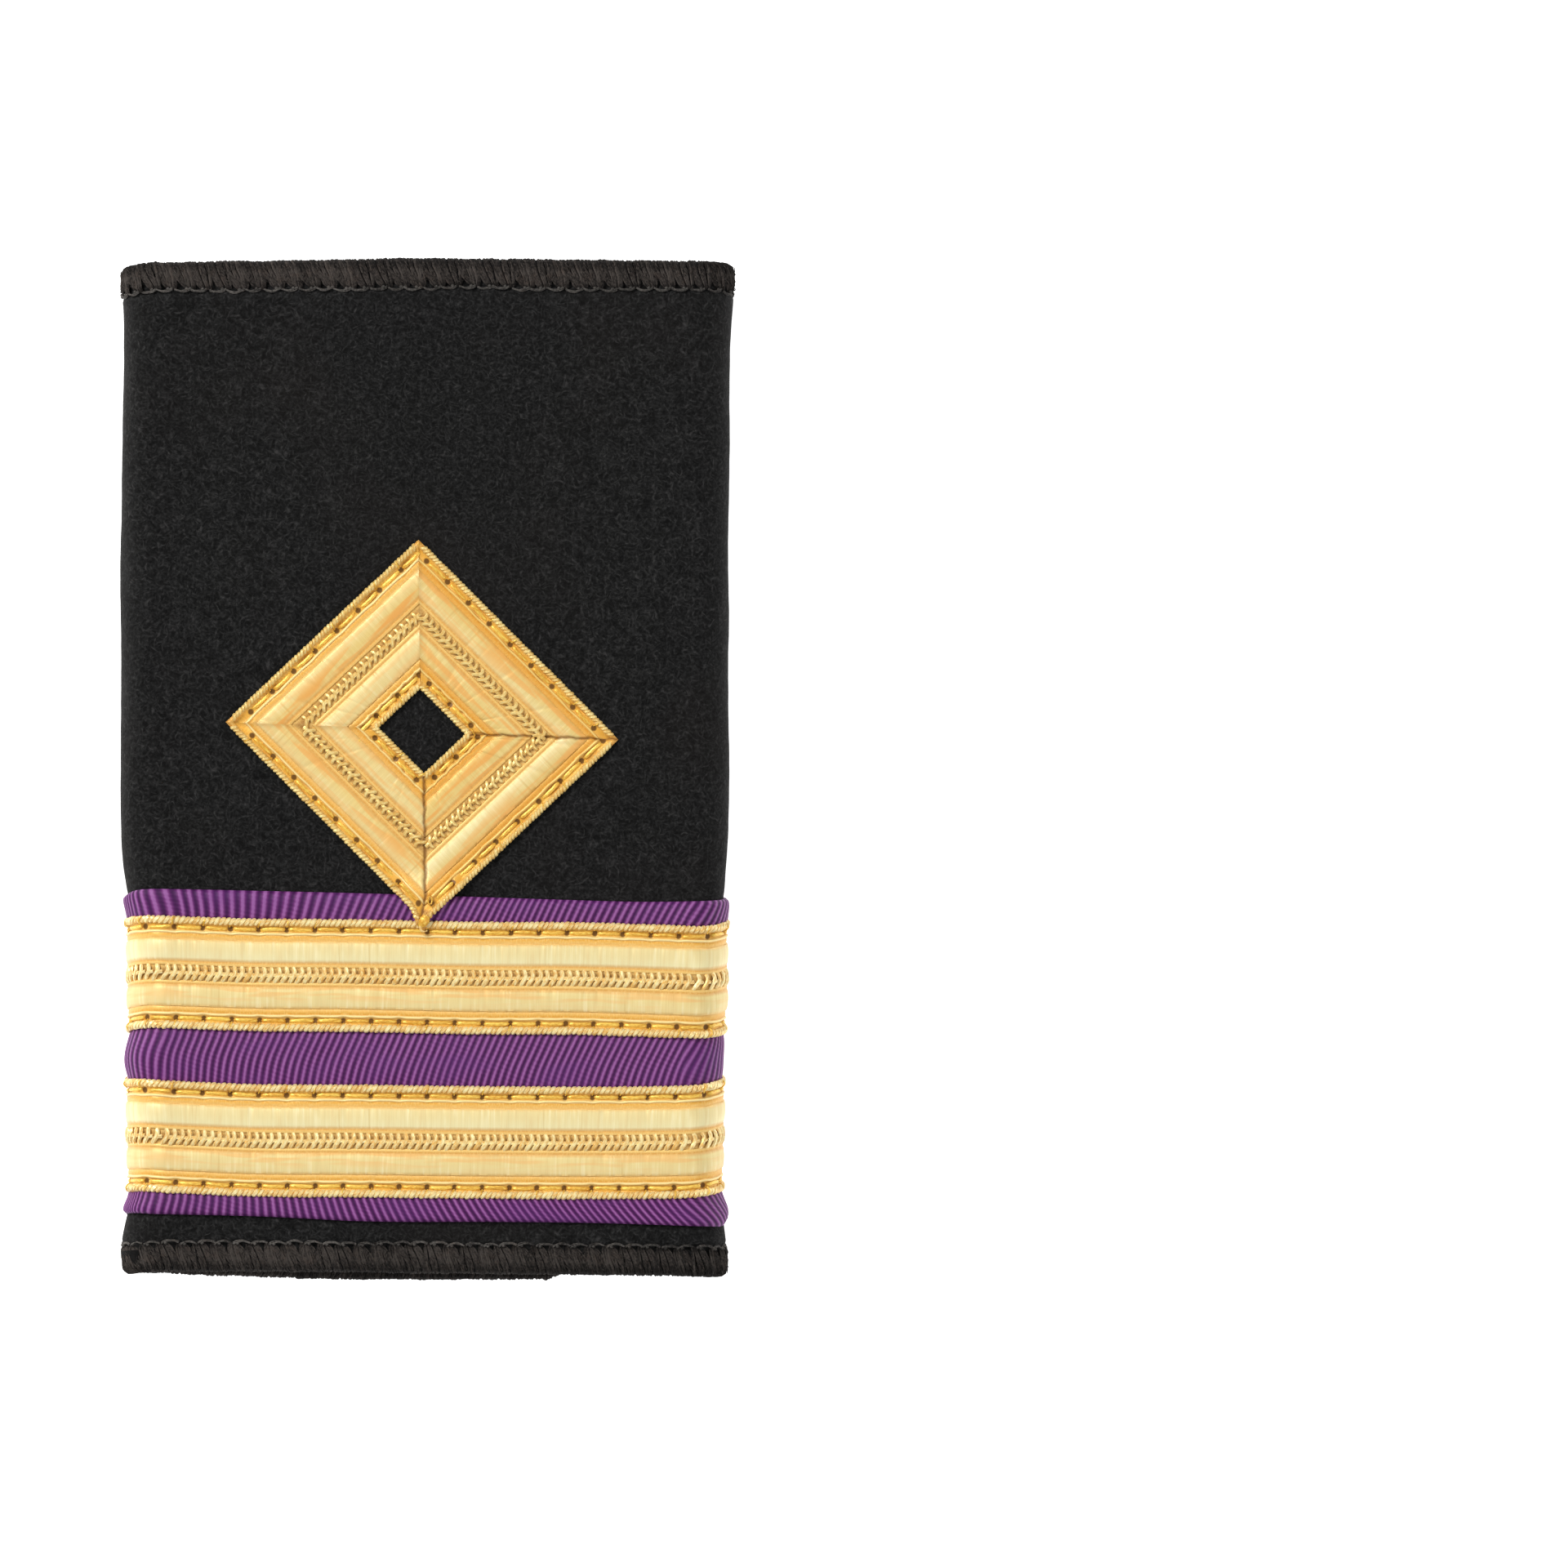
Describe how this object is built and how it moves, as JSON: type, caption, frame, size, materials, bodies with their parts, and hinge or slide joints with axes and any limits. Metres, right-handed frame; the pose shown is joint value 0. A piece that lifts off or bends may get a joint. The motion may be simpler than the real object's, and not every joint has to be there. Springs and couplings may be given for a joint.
{
  "type": "slip-on epaulette slide",
  "caption": "Felt shoulder board slide: a flat sleeve with overlocked hems that slips over a uniform's shoulder strap, trimmed with ribbed ribbon, gold lace bands and a lace diamond.",
  "frame": {"origin": "under the middle of the slide, on the surface that its back lies on", "axes": "+X across the slide, to the right as its face is seen; +Y along it towards the plain upper hem; +Z out of its face"},
  "size_m": [0.061, 0.1012, 0.012],
  "materials": {
    "felt": "milled wool, matt, with a short nap",
    "overlock_thread": "bulked textured thread, matt",
    "ribbon": "ribbed rayon, soft sheen",
    "gold_lace": "woven metallised yarn, satin"
  },
  "bodies": {
    "root": {"felt_sleeve": "felt", "top_overlock": "overlock_thread", "bottom_overlock": "overlock_thread", "edge_overlock": "overlock_thread", "ribbon": "ribbon", "upper_lace": "gold_lace", "lower_lace": "gold_lace", "lace_diamond": "gold_lace"}
  },
  "joints": []
}
